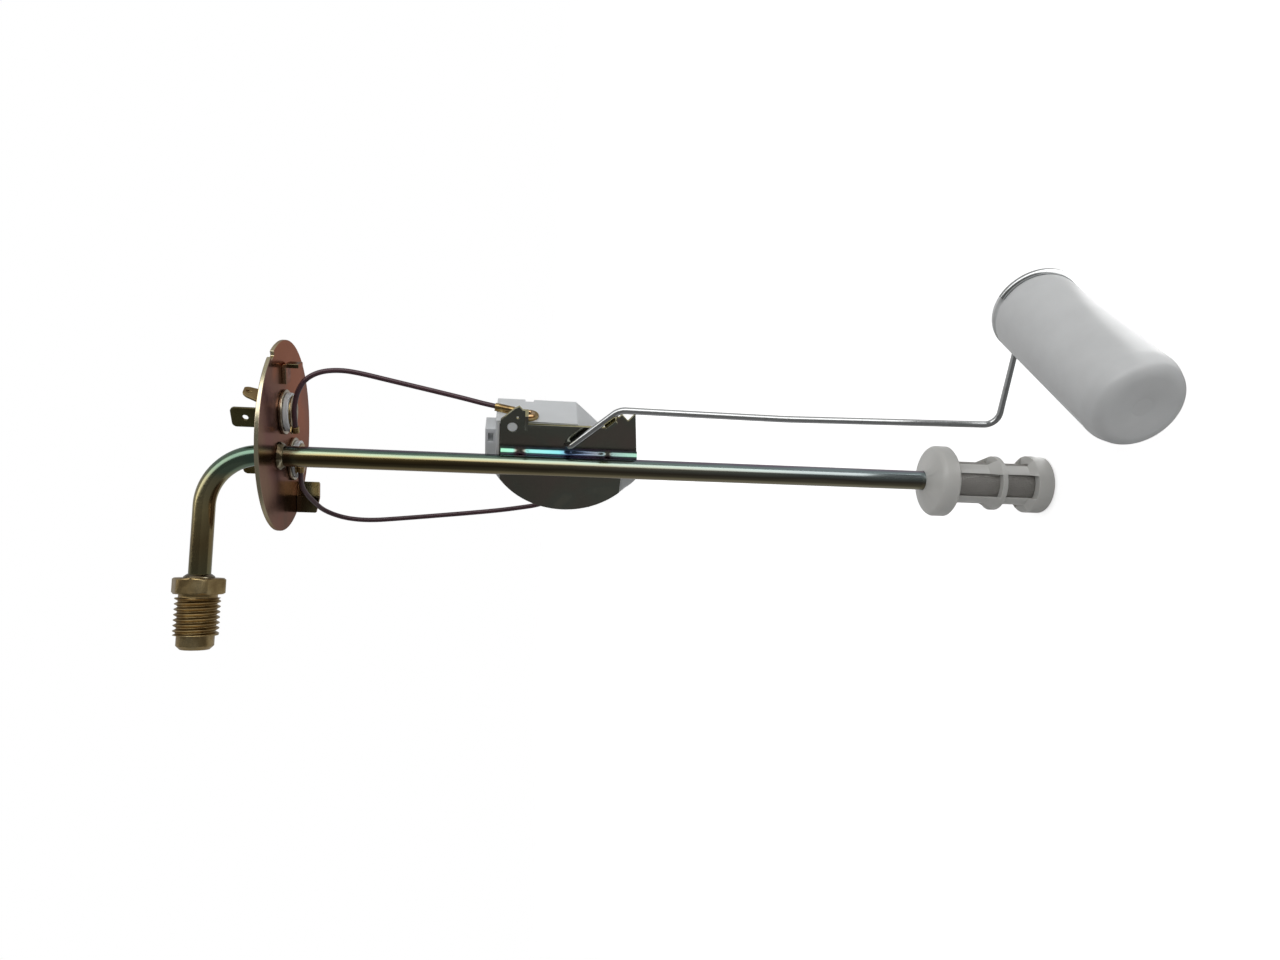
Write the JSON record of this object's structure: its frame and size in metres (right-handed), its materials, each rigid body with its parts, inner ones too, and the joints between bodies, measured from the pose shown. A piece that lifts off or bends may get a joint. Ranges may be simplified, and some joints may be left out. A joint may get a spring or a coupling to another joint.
{
  "type": "fuel level sender",
  "caption": "Tank fuel level sender on a round flange, with a suction tube, strainer, rheostat housing and a float on a swinging wire arm.",
  "frame": {"origin": "centre of the flange's tank-side face, which seats on the tank", "axes": "+Z out of the tank along the suction tube's axis, +X towards the side the float arm rises on, -Y the bracket plate's front"},
  "size_m": [0.1156, 0.0916, 0.2618],
  "materials": {
    "copper_zinc": "zinc plated steel with a copper-brown and violet passivation",
    "yellow_zinc": "zinc plated steel tube, yellow-green to teal iridescent, silvery at the strainer end",
    "gold_zinc": "gold passivated zinc plating",
    "cup_zinc": "grey-brown zinc plated sealing cup",
    "olive_zinc": "olive passivated zinc plating",
    "dark_zinc": "dark mirror-like zinc plating with teal and violet tints",
    "braze": "plated braze metal",
    "brass": "plain brass",
    "copper": "copper rivet",
    "bright_steel": "bright drawn spring steel wire",
    "white_nylon": "moulded white nylon",
    "float_plastic": "translucent white moulded float",
    "clear_nylon": "translucent natural nylon",
    "mesh_nylon": "fine woven nylon strainer mesh",
    "card": "brown fibre card",
    "resistance_wire": "close-wound resistance wire",
    "hub_plastic": "moulded nylon hub",
    "lead_sheath": "dark purple-brown insulated lead"
  },
  "bodies": {
    "root": {"bracket_plate": "dark_zinc", "braze_ring": "braze", "braze_seams": "braze", "centring_tab_lower": "copper_zinc", "centring_tab_upper": "copper_zinc", "contact_strip": "brass", "contact_washer_lower": "brass", "contact_washer_upper": "brass", "earth_blade": "gold_zinc", "inner_insulator_lower": "white_nylon", "inner_insulator_upper": "white_nylon", "lower_lead": "lead_sheath", "mounting_flange": "copper_zinc", "outer_insulator_lower": "white_nylon", "outer_insulator_upper": "white_nylon", "outlet_union": "gold_zinc", "resistance_card": "card", "resistance_winding": "resistance_wire", "ring_rivet_lower": "copper", "ring_rivet_upper": "copper", "ring_terminal_lower": "brass", "ring_terminal_upper": "brass", "seal_cup_lower": "cup_zinc", "seal_cup_upper": "cup_zinc", "sender_housing": "white_nylon", "strainer_body": "clear_nylon", "strainer_mesh": "mesh_nylon", "suction_tube": "yellow_zinc", "terminal_blade_lower": "olive_zinc", "terminal_blade_upper": "olive_zinc", "terminal_rivet_lower": "brass", "terminal_rivet_upper": "brass", "union_braze_ring": "braze", "upper_lead": "lead_sheath"},
    "float_arm": {"float_arm": "bright_steel", "float": "float_plastic", "wiper_hub": "hub_plastic", "wiper_spring": "brass"}
  },
  "joints": [
    {"name": "float_arm_hinge", "type": "hinge", "parent": "root", "child": "float_arm", "pos_m": [0.0046, -0.00824, -0.0829], "axis": [0, -1, 0], "range_deg": [0, 89.1]}
  ]
}
